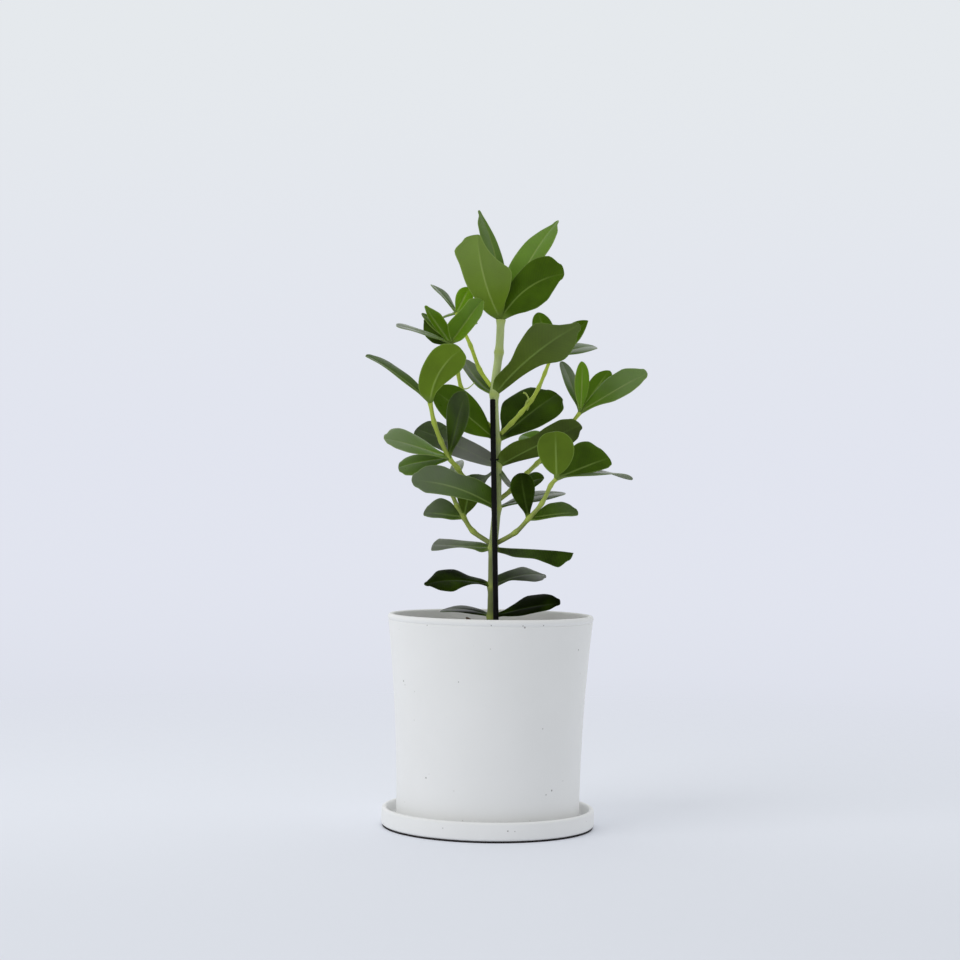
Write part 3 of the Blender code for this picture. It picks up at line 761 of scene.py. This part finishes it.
STEMS = {}
STEMS["main_stem"] = ((3.5, 2.9), [
    (2, 1, 80), (1, 0, 152), (1, 0, 174), (1, 0, 202), (3, 0, 231), (3, 0, 262), (2, 0, 280),
    (0, 0, 314), (3, 1, 345), (4, 2, 369)], [
    leaf(1, (-37, 28, 155), (0, -0.3, 1), 26, 4, 0.05, width=18),
    leaf(1, (49.5, -22, 164), (0, -1, 1.1), 12, 4, 0.0,
         sides=((2.5, 6.5, 13.5, 12.5, 9.5, 5), (2.2, 5, 7.5, 6.5, 5.5, 2))),
    leaf(2, (-48, -24, 176), (0, -1, 1.3), 24, 4, 0.05, bow=2.0,
         sides=((1.5, 3, 7.5, 12.5, 10, 3), (6.5, 7, 13, 12.5, 6.5, 2.5))),
    leaf(2, (41, 28, 182), (0, -0.9, 1), 22, 4, 0.12, 0.24, bow=-2.5,
         sides=((7.5, 7.5, 8, 10, 5, 1.5), (2, 1.5, 5.5, 9, 7, 3))),
    leaf(3, (-43.5, 16, 203.5), (0, -0.62, 1), 0, 4, 0.24, 0.29, drop=0.0,
         sides=((6, 3, 2, 4, 7, 8), (5, 7.5, 8.5, 8.5, 8.5, 9))),
    leaf(3, (58, -28, 200.5), (0, -0.75, 1), 4, -35, 0.12, -0.03,
         sides=((6, 9, 10, 11, 9, 3.5), (4, 6, 6, 9, 11.5, 6))),
    leaf(4, (-58, -30, 250), (0, -1, 0.35), 10, 8, 0.36, 0.19, bow=4.5,
         sides=((3, 5, 7, 8, 8.5, 5), (12, 12.5, 11, 13.5, 11.5, 6))),
    leaf(4, (54, 34, 244), (0, -0.3, 1), 15, 4, 0.2, 0.2, width=22),
    leaf(5, (-57.5, 34, 290), (0, -1, 0.9), 8, 4, 0.14, -0.42,
         sides=((6, 8.5, 10, 10, 9.5, 6.5), (8.5, 9.5, 10, 12.5, 14.5, 12))),
    leaf(5, (62, -34, 292), (0, 1, 0.9), 6, 6, 0.12, 0.03,
         sides=((4.5, 7.5, 11.5, 13.5, 11, 4.5), (10, 11.5, 8.5, 11, 11.5, 8.5))),
    leaf(5, (-25, 16, 248), (0, -1, 0.3), -10, 6, 0.15, -0.25, bow=-4.5,
         sides=((1, 1.5, 5, 6.5, 5, 3), (1, 1.5, 5.5, 7, 5.5, 3))),
    leaf(5, (14, -1, 247), (0, -0.6, 1), 5, 4, 0.4, 0.6, width=6, bow=1.5),
    leaf(6, (-44, -14, 316), (0, -1, 0.8), 10, 10, 0.40, width=33),
    leaf(6, (47.5, 38, 318), (0, -1, 0.8), 8, 6, 0.2,
         sides=((4.5, 14.5, 22, 21, 18, 8), (5, 10, 15, 16.5, 14.5, 8))),
    leaf(7, (60, -34, 363.5), (0, 1, 0.5), -10, 6, 0.2, 0.04, bow=5.0,
         sides=((4.5, 6.5, 10, 17, 13, 5), (7.5, 7.5, 13.5, 18, 7.5, 3.5))),
    leaf(7, (-22.5, 30, 342), (0.3, -0.7, 0.6), -8, 10, 0.35, 0.28, bow=-3.0,
         sides=((4, 5.3, 5.3, 5, 5, 4), (4, 6, 8.5, 8.5, 6.5, 4))),
    leaf(9, (-14, -14, 429), (0, 1, 0.2), -25, 17, 0.73, 0.08, bow=3.6,
         sides=((8.5, 16.5, 21, 12, 6, 3), (8, 11, 14.5, 16, 18.5, 11))),
    leaf(9, (-13, 30, 453.5), (0.8, -1, 0.3), 10, 14, 0.6, 0.08, bow=4.5,
         sides=((4, 8, 12, 11.5, 9.5, 3), (3, 5.5, 6.5, 5.5, 3, 1))),
    leaf(9, (45.5, 34, 447.5), (-0.7, -1, 0.5), 20, 8, 0.72, 0.06,
         sides=((5.5, 12, 15.5, 13.5, 8, 2.2), (4, 7, 9.5, 11.5, 9, 2.8))),
    leaf(9, (49, -12, 402), (-0.3, -1, 0.4), 6, 6, 0.3, bow=-7.5,
         sides=((6.5, 11, 15.5, 18.5, 16.5, 8.5), (8.5, 15, 18.5, 17, 11, 4.5))),
])
STEMS["shoot_low_left"] = ((1.9, 1.5), [
    (-2, 2.8, 206), (-14, 9, 214), (-21, 16, 224), (-26, 24, 232), (-30, 32, 241),
    (-33, 38, 247)], [
    leaf(2, (-51, 24, 227), (0, -1, 0.9), 6, 4, 0.27, 0.14,
         sides=((3, 4, 4, 4.2, 3.5, 2.5), (4.5, 9.5, 14.5, 16, 13, 8))),
    leaf(2, (-15, 28, 255), (-0.3, 1, 0.3), 10, 8, 0.2, width=20),
    leaf(5, (-64, 62, 262), (0, -0.6, 1), 20, 8, 0.4, width=16),
    leaf(5, (-24, 76, 268), (0, -0.6, 1), 12, 8, 0.4, 0.45, width=9),
])
STEMS["shoot_low_right"] = ((1.8, 1.4), [
    (4.2, -2.6, 206), (17, -12, 214), (26, -20, 224), (35, -28, 235), (41, -36, 248),
    (45, -40, 253)], [
    leaf(2, (19.5, -14, 257), (-0.2, -1, 0.3), 5, 10, 0.1, width=18, rule=ROUND),
    leaf(2, (62, -16, 229), (0, -1, 0.9), 12, 4, 0.32, 0.06,
         sides=((3.5, 7.5, 11.5, 12, 9, 4.5), (2.7, 2.7, 2.7, 2.6, 2.7, 2.2))),
    leaf(5, (43, -54, 286), (0, 1, 0.3), 10, 6, 0.38, width=26, sides=((0.56, 0.5), (0.62, 0.38))),
    leaf(5, (83.5, -20, 269), (0, -1, 0.5), 6, 5, 0.30,
         sides=((4.5, 12, 17.5, 19.5, 18, 10.5), (2, 3.5, 5.5, 7, 7.5, 6))),
    leaf(5, (101, -8, 254), (0, -0.3, 1), 36, 6, 0.3, 0.25, width=20, twist=40),
])
STEMS["shoot_front_left"] = ((1.9, 1.5), [
    (-0.7, 0.8, 238), (-20, 0, 252), (-26, -4, 260), (-32, -10, 267), (-38, -18, 279),
    (-43, -24, 292), (-46, -30, 306)], [
    leaf(3, (-78, -34, 280), (0, -1, 1.1), 8, 5, 0.7, 0.24,
         sides=((3.5, 5, 8, 9.5, 9, 6), (4.5, 9.5, 13.5, 16.5, 13.5, 6))),
    leaf(3, (-69, -8, 260), (0, -0.8, 1), 8, 6, 0.45, 0.06,
         sides=((5, 8, 12, 14, 12.5, 7), (3, 5, 8, 10, 9, 6))),
    leaf(3, (-21, -44, 313), (-0.5, -1, 0.3), 5, 15, 0.14, 0.02, width=22, rule=ROUND),
    leaf(6, (-24, -48, 343.5), (-0.2, 1, 0.2), 8, 5, 0.54, bow=5.0,
         sides=((3, 6, 10, 12, 11, 8), (9, 11.5, 13, 13.5, 11.5, 7))),
    leaf(6, (-93, -18, 340.5), (0, -0.3, 1), 15, 8, 0.35, 0.06,
         sides=((1.5, 2.5, 3, 3, 3, 2.5), (4, 8, 10, 10, 8, 4.5))),
])
STEMS["shoot_back_right"] = ((1.8, 1.4), [
    (5.6, 3.0, 238), (14, 10, 245), (25, 22, 257), (33, 30, 265), (44, 36, 277), (55, 40, 291),
    (65, 42, 304)], [
    leaf(1, (37, -2, 254), (0, -1, 1), 15, 6, 0.15, width=17),
    leaf(4, (21, 54, 287), (0, -0.8, 1), 15, 8, 0.7, width=20),
    leaf(3, (62, 66, 270), (0, -0.5, 1), 15, 8, 0.4, width=20),
    leaf(6, (51, 50, 343), (1, -0.9, 0.2), 10, 10, 0.55, 0.26, width=17),
    leaf(6, (65, 25, 341), (0.3, -1, 0.2), 10, 10, 0.9, width=12),
    leaf(6, (88, 62, 337.5), (0, -1, 0.5), 10, 10, 0.6, width=15),
    leaf(6, (113, 20, 333), (0, -1, 0.7), 8, 5, 0.62, 0.14,
         sides=((5.5, 10, 14, 14, 10, 6), (2.5, 4.5, 8, 8.5, 7, 4))),
])
STEMS["shoot_high_right"] = ((1.65, 1.25), [
    (5.2, 0.2, 285.5), (13, 3, 293.5), (20, 8, 301.5), (27.5, 13, 311), (33, 19, 321),
    (37.5, 25, 332), (42, 30, 344)], [
    leaf(6, (32.5, 42, 379), (0.2, -1, 0.2), 6, 8, 0.5, width=16),
    leaf(6, (68, 12, 370.5), (0, -1, 0.7), 10, 8, 0.45, width=17, rule=POINTED),
    leaf(6, (76.5, 62, 356), (0, -0.5, 1), 15, 8, 0.4, 0.1, width=22),
])
STEMS["shoot_high_back"] = ((1.6, 1.2), [
    (-2.3, 2.3, 320), (-11, 9, 333), (-18, 17, 351), (-24, 25, 364), (-29, 30, 376)], [
    leaf(4, (-19.5, 26, 395), (0, -1, 0.3), 8, 8, 0.9, width=13),
    leaf(4, (-48, 44, 399), (0.8, -0.5, 0.4), 15, 10, 0.4, 0.08, width=15),
    leaf(4, (-20, 72, 372), (0, -1, 0.7), 15, 8, 0.5, width=20),
    leaf(4, (-52, 60, 368), (0, -0.6, 1), 15, 8, 0.5, width=18),
])
STEMS["shoot_mid_left"] = ((1.7, 1.3), [
    (-1.4, 1.8, 290), (-9, 5, 297), (-18, 5, 306), (-24, 3, 318), (-27, -3, 330), (-30, -9, 340),
    (-32, -14, 350)], [
    leaf(6, (-10, -12, 382), (-0.3, -1, 0.3), 0, 30, 0.66, 0.05,
         sides=((8.7, 10.3, 9.5, 8.3, 8.1, 5), (8.1, 10, 11.1, 10.6, 7.6, 4.3))),
    leaf(6, (-50.5, -38, 374), (-0.3, -1, -0.3), 6, 6, 0.6,
         sides=((2.2, 2.6, 3.3, 3.2, 2, 1), (2.6, 4.6, 7, 6.8, 4.2, 1.7))),
    leaf(6, (-51, 4, 370), (0.1, -1, 0.2), 6, 6, 0.16,
         sides=((7, 10, 10.5, 8.5, 5.5, 3), (4, 5, 5, 4.5, 3.5, 2))),
    leaf(6, (-71, -28, 361.5), (0, -0.42, 1), 8, 6, 0.45, 0.32, width=15, rule=BLUNT),
    leaf(6, (-54, 8, 374), (0.3, -1, 0.5), 8, 8, 0.3, width=7),
])
# Dry leaf stalks and tendrils that stay on a stem: points, and the radius at each end
TENDRILS = {
    "shoot_high_right": [
        ([(21.3, 12, 316.5), (23.4, 12, 315.6), (25.2, 12, 312.6), (25.8, 12, 309),
          (25.4, 12.3, 305.5), (24.5, 12.5, 303.5)], (0.7, 0.5)),
        ([(23.5, 11, 307), (24.2, 10, 310), (26.2, 9.5, 312.2)], (1.0, 0.4))],
    "shoot_mid_left": [
        ([(-24.5, 3, 318), (-20, 3.2, 318.3), (-17, 3.4, 320.3), (-14.6, 3.5, 322.8)],
         (0.5, 0.35))],
}
print("leaves:", sum(len(rows) for _, _, rows in STEMS.values()))

# %% [markdown]
# ## Greens
#
# The upper face of a leaf is dark and a little glossy, the lower face is paler and more matt, and
# young leaves are yellow-green on both. The midrib and the very edge are paler lines, fainter on
# the upper face of old leaves. Every leaf carries its distances to both as marks, so these lines
# and the slanted side veins are formulas and need no picture. Many leaves are also grey over a part
# of their face: a film of wax, and the pale room that it reflects. A reflection alone would hang
# on the exact tilt of each leaf, so this sheen is painted into the colour as a grey film.

# %% Leaf greens
# Each pair is the green of the oldest and of the youngest leaves
UPPER_GREENS = (0.004, 0.007, 0.001), (0.165, 0.335, 0.006)
LOWER_GREENS = (0.058, 0.088, 0.010), (0.195, 0.325, 0.020)
PALE_GREENS = (0.12, 0.19, 0.035), (0.32, 0.45, 0.09)
STALK_GREEN = (0.155, 0.235, 0.04)
# The sine's angle from the foot to the tip makes about 30 veins on each side
VEIN_ANGLE = 190.0
VEIN_SLANT = 1.7
VEIN_TONE = 0.016


def youth(tree, share, rib):
    """How young the leaf looks at a point: its own mark, plus a sine of the share less the slanted
    distance from the midrib, plus soft patches."""
    slant = calc(tree, "SUBTRACT", calc(tree, "MULTIPLY", share, VEIN_ANGLE),
                 calc(tree, "MULTIPLY", rib, VEIN_SLANT))
    veins = calc(tree, "MULTIPLY", calc(tree, "SINE", slant), VEIN_TONE)
    veined = calc(tree, "ADD", mark_of(tree, "young"), veins)
    return calc(tree, "ADD", veined, mottle(tree, 55.0, 0.35))


def leaf_green(tree, upper):
    """The green of the face, then the midrib's line, the edge's line and the stalk."""
    share, rib, edge = (mark_of(tree, name) for name in ("share", "rib", "edge"))
    young = youth(tree, share, rib)
    green = tint(tree, upper, tint(tree, young, *LOWER_GREENS), tint(tree, young, *UPPER_GREENS))
    pale = tint(tree, young, *PALE_GREENS)
    clear = fade(tree, mark_of(tree, "young"), 0.0, 0.4, 0.08, 0.75)
    rib_line = calc(tree, "MULTIPLY", fade(tree, rib, 0.35, 0.95, 1.0, 0.0),
                    fade(tree, share, 0.55, 0.95, 1.0, 0.15))
    strength = blend(tree, upper, 0.95, clear)
    ribbed = tint(tree, calc(tree, "MULTIPLY", rib_line, strength), green, pale)
    edge_line = calc(tree, "MULTIPLY", fade(tree, edge, 0.20, 0.90, 1.0, 0.0), clear)
    edged = tint(tree, edge_line, ribbed, pale)
    return tint(tree, fade(tree, share, 0.03, 0.14, 1.0, 0.0), edged, STALK_GREEN)


# %% Leaf finish
# The grey of a waxy bloom and of a painted sheen, the pale room's reflection
SHEEN_GREY = (0.42, 0.40, 0.43)
# Each pair is for the lower and for the upper face
SHINE = (0.06, 0.20)
ROUGHNESS = (0.50, 0.30)
OLD_SHINE = 0.15


def sheen_film(tree):
    """The share of grey, waxy bloom and painted sheen: a positive bloom times a rise towards the
    tip, uneven by soft patches, less a negative bloom times a fall towards the tip."""
    bloom_and_sheen, share = mark_of(tree, "bloom_and_sheen"), mark_of(tree, "share")
    uneven = calc(tree, "ADD", mottle(tree, 30.0, 1.4), fade(tree, share, 0.1, 0.9, 0.15, 1.25))
    at_tip = calc(tree, "MULTIPLY", calc(tree, "MAXIMUM", bloom_and_sheen, 0.0), uneven)
    at_foot = calc(tree, "MULTIPLY", calc(tree, "MINIMUM", bloom_and_sheen, 0.0),
                   fade(tree, share, 0.3, 0.75, 1.0, 0.15))
    return calc(tree, "SUBTRACT", at_tip, at_foot)


LEAF, tree, shader = new_finish("clusia_leaf", Subsurface_Weight=0.06, Subsurface_Scale=0.0015,
                                Subsurface_Radius=(0.5, 1.0, 0.2))
face = mark_of(tree, "upper")
upper = fade(tree, face, 0.35, 0.65)
# Painted sheen: the grey film stands for the room reflected in the wax
sheened = tint(tree, sheen_film(tree), leaf_green(tree, upper), SHEEN_GREY)
shine = calc(tree, "MULTIPLY", blend(tree, face, *SHINE),
             fade(tree, mark_of(tree, "young"), 0.0, 0.25, OLD_SHINE, 1.0))
rough = calc(tree, "ADD", blend(tree, upper, *ROUGHNESS), mottle(tree, 120.0, 0.12))
put(shader, {"Base Color": sheened, "Specular IOR Level": shine, "Roughness": rough})
lift(tree, shader, pores(tree, 600.0, 0.5), 0.0002, 0.5)

# %% Stem finish
STEM_LOW = (0.20, 0.24, 0.08)
# High on the plant: the main stem, and the thin young shoots
STEM_HIGH = (0.54, 0.65, 0.27), (0.49, 0.62, 0.06)
JOINT_GREEN = (0.46, 0.58, 0.08)

# Darker green low on the plant, paler with the height, and yellower at the joints
STEM, tree, shader = new_finish("clusia_stem", Roughness=0.48, Specular_IOR_Level=0.4)
height = add(tree, "ShaderNodeSeparateXYZ", {0: places(tree)}).outputs["Z"]
rise = calc(tree, "ADD", fade(tree, height, 0.15, 0.36), mottle(tree, 90.0, 0.6))
green = tint(tree, rise, STEM_LOW, tint(tree, mark_of(tree, "young"), *STEM_HIGH))
whole = tint(tree, calc(tree, "MULTIPLY", mark_of(tree, "joint"), 0.5), green, JOINT_GREEN)
put(shader, {"Base Color": whole})
lift(tree, shader, pores(tree, 500.0, 0.6), 0.0004, 0.6)
print("finishes:", LEAF.name, STEM.name)

# %% [markdown]
# ## Growing the stems
#
# A stem is a tube along a smooth curve through its joints, a little swollen at each joint. Its
# leaves and tendrils are added to the same piece, because on the real plant they are one body with
# their stem. The thick main stem is woodier and paler than the young side shoots.

# %% Leafy stems
STEM_STEPS = 10
STEM_COLUMNS = 16
TENDRIL_COLUMNS = 8
JOINT_SWELL = 0.28
JOINT_REACH = 2.6
YOUNG_STEM_RADIUS = 2.5
# A stem has the leaves' marks too, so that one mesh can hold both
STEM_MARKS = {"young": 0.5, "bloom_and_sheen": 0.0, "rib": 9.0, "edge": 9.0, "upper": 1.0, "share": 0.5}


def smooth_path(points):
    """A Catmull-Rom curve: between two points it is a cubic whose slopes come from the points
    before and after them."""
    spots = np.array(points, dtype=float)
    knots = np.concatenate([[2 * spots[0] - spots[1]], spots, [2 * spots[-1] - spots[-2]]])
    t = (np.arange(STEM_STEPS) / STEM_STEPS)[None, :, None]
    before, start, end, after = (knots[k:len(knots) - 3 + k, None] for k in range(4))
    curve = 0.5 * (2 * start + (end - before) * t
                   + (2 * before - 5 * start + 4 * end - after) * t ** 2
                   + (3 * start - before - 3 * end + after) * t ** 3)
    return np.concatenate([curve.reshape(-1, 3), spots[-1:]])


def stem_part(ends, joints):
    """The tube's radius is an even taper times one plus a bell at each joint."""
    path = smooth_path(joints)
    walked = np.concatenate([[0.0], np.linalg.norm(np.diff(path, axis=0), axis=1).cumsum()])
    stops = walked[STEM_STEPS::STEM_STEPS]
    bell = np.exp(-((walked[:, None] - stops) / JOINT_REACH) ** 2).max(axis=1)
    radii = np.linspace(*ends, len(path)) * (1.0 + JOINT_SWELL * bell)
    joint = np.concatenate([np.repeat(bell, STEM_COLUMNS), [0.0, 0.0]])
    young = 0.0 if ends[0] > YOUNG_STEM_RADIUS else 1.0
    marks = {**STEM_MARKS, "joint": joint, "young": young}
    return skin(tube(path, radii, STEM_COLUMNS), look=1, marks=marks)


def tendril_part(points, ends):
    """A thin tube with an even taper."""
    path = smooth_path(points)
    rings = tube(path, np.linspace(*ends, len(path)), TENDRIL_COLUMNS)
    return skin(rings, look=1, marks={**STEM_MARKS, "joint": 0.6})


def leaf_part(foot, form, tone):
    """A blade with one mark for each point. The two poles take the marks of their end rings."""
    rings, marks = blade(foot, **form)
    flat = {name: np.concatenate([value.reshape(-1), value[[0, -1], 0]])
            for name, value in marks.items()}
    return skin(rings, marks={**flat, **tone})


for stem_name, (ends, joints, rows) in STEMS.items():
    parts = [stem_part(ends, joints)]
    parts += [leaf_part(joints[joint], *row) for joint, *row in rows]
    parts += [tendril_part(*row) for row in TENDRILS.get(stem_name, [])]
    dress(shell(f"{stem_name}_fine", parts, [LEAF, STEM], 60.0), "leaf_green", stem_name)

# %% [markdown]
# ## Studio
#
# The plant stands in a white room: light from everywhere, a little more of it from the upper left
# in front, and no horizon. The floor is a large pale disc that fades into the background, with a
# painted shade that darkens it slightly towards the camera. What the camera sees, what lights
# the plant and what its leaves mirror are set apart, so that the background can be matched
# without changing the light.

# %% Floor
# Near the camera, darker as painted shade, and behind the plant
PAPER_WITH_FRONT_SHADE = (0.79, 0.81, 0.865), (0.86, 0.88, 0.94)
FLOOR_RADII = (300.0, 600.0, 1000.0, 1600.0, 2400.0, 3600.0, 5500.0, 8000.0, 14000.0)
FLOOR_COLUMNS = 64
FADE_NEAR = 0.2
FADE_FAR = 1.4

# The tone darkens towards the camera as painted shade, and the disc turns clear with the distance
# from the plant
paper, tree, shader = new_finish("floor_paper", Roughness=0.95, Specular_IOR_Level=0.0)
where = places(tree)
out = add(tree, "ShaderNodeVectorMath", {0: where}, operation="LENGTH").outputs["Value"]
depth = add(tree, "ShaderNodeSeparateXYZ", {0: where}).outputs["Y"]
put(shader, {"Base Color": tint(tree, fade(tree, depth, -0.4, 0.1), *PAPER_WITH_FRONT_SHADE),
             "Alpha": fade(tree, out, FADE_NEAR, FADE_FAR, 1.0, 0.0)})

# Of the skin's two poles the floor keeps the first, its middle, and its faces look up
rings = turned([(radius, 0.0) for radius in FLOOR_RADII], FLOOR_COLUMNS)
points, quads, caps, *_ = skin(rings)
disc = (points[:-1], quads[:, ::-1], caps[:FLOOR_COLUMNS, ::-1], 0, {})
floor = shell("floor", [disc], [paper])
print("floor:", len(floor.data.polygons), "faces")

# %% World
# What the camera sees behind the plant: low, level and high
BACKDROP = (0.630, 0.660, 0.725), (0.757, 0.780, 0.865), (0.785, 0.815, 0.845)
# The light from in front of the plant and from behind it
ROOM = (0.565, 0.575, 0.58), (0.92, 0.94, 0.96)
# What glossy surfaces mirror of the front and of the back
MIRRORED = (0.03, 0.03, 0.03), (1.1, 1.12, 1.16)

world = bpy.data.worlds.new("room")
world.cycles.sampling_method = "NONE"
world.use_nodes = True
bpy.context.scene.world = world
tree = world.node_tree
tree.nodes.clear()
way = add(tree, "ShaderNodeTexCoord").outputs["Generated"]
parts = add(tree, "ShaderNodeSeparateXYZ", {0: way})
rise, behind = parts.outputs["Z"], parts.outputs["Y"]
above = tint(tree, fade(tree, rise, 0.0, 0.25), *BACKDROP[1:])
seen = tint(tree, fade(tree, rise, -0.26, -0.02), BACKDROP[0], above)
light = tint(tree, fade(tree, behind, -0.7, 0.6), *ROOM)
mirrored = tint(tree, fade(tree, behind, 0.2, 0.85), *MIRRORED)
# the kind of the ray picks one of the three gradients
rays = add(tree, "ShaderNodeLightPath").outputs
lit = tint(tree, rays["Is Glossy Ray"], light, mirrored)
both = tint(tree, rays["Is Camera Ray"], lit, seen)
background = add(tree, "ShaderNodeBackground", {"Color": both, "Strength": 1.0})
add(tree, "ShaderNodeOutputWorld", {"Surface": background.outputs[0]})
bpy.context.scene.view_settings.view_transform = "Standard"

# %% Soft light from the upper left in front
LAMP_PLACE = Vector((-1.9, -1.5, 1.7))
LAMP_TARGET = Vector((0.0, 0.0, 0.2))
lamp_data = bpy.data.lights.new("window", "AREA")
lamp_data.size = 1.8
lamp_data.energy = 20.5
lamp = bpy.data.objects.new("window", lamp_data)
lamp.visible_glossy = False
lamp.location = LAMP_PLACE
lamp.rotation_euler = (LAMP_TARGET - LAMP_PLACE).to_track_quat("-Z", "Y").to_euler()
bpy.context.scene.collection.objects.link(lamp)
print("lamp:", round(lamp_data.energy, 1), "W")
